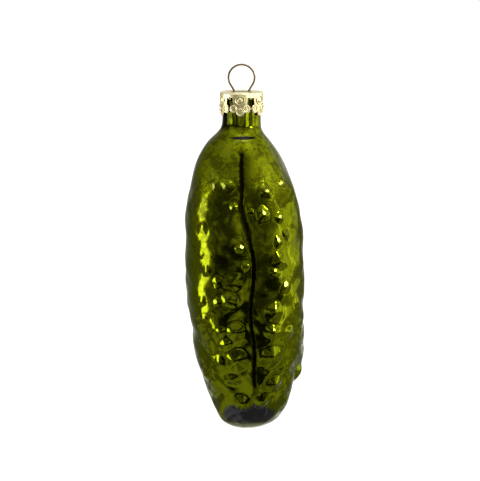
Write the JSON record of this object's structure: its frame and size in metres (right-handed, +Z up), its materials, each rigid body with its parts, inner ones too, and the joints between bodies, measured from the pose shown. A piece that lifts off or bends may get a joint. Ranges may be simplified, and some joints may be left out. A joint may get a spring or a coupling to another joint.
{
  "type": "pickle ornament",
  "caption": "Hollow blown-glass pickle with warts and a crease, hung by a wire loop through a pressed crown cap.",
  "frame": {"origin": "where a hook bears, on the inside of the top of the wire loop", "axes": "+Z up through the loop, +Y along the hook's wire through the loop, -Y the front with the long crease"},
  "size_m": [0.0339, 0.0348, 0.1028],
  "materials": {
    "hanger_wire": "drawn spring wire with a dull brown-gold plating",
    "crown_cap": "thin pressed sheet, pale gold plated, lightly worn",
    "glass_pickle": "blown glass, silvered inside, with a transparent yellow-green gloss lacquer outside"
  },
  "bodies": {
    "hanger": {"hanger_wire": "hanger_wire"},
    "cap": {"crown_cap": "crown_cap"},
    "glass": {"glass_pickle": "glass_pickle"}
  },
  "joints": [
    {"name": "hanger_tilt", "type": "hinge", "parent": "hanger", "child": "cap", "pos_m": [0, 0, -0.00735], "axis": [1, 0, 0], "range_deg": [-8, 8]},
    {"name": "cap_pull", "type": "slide", "parent": "cap", "child": "glass", "axis": [0, 0, -1], "range_m": [0, 0.024]}
  ]
}
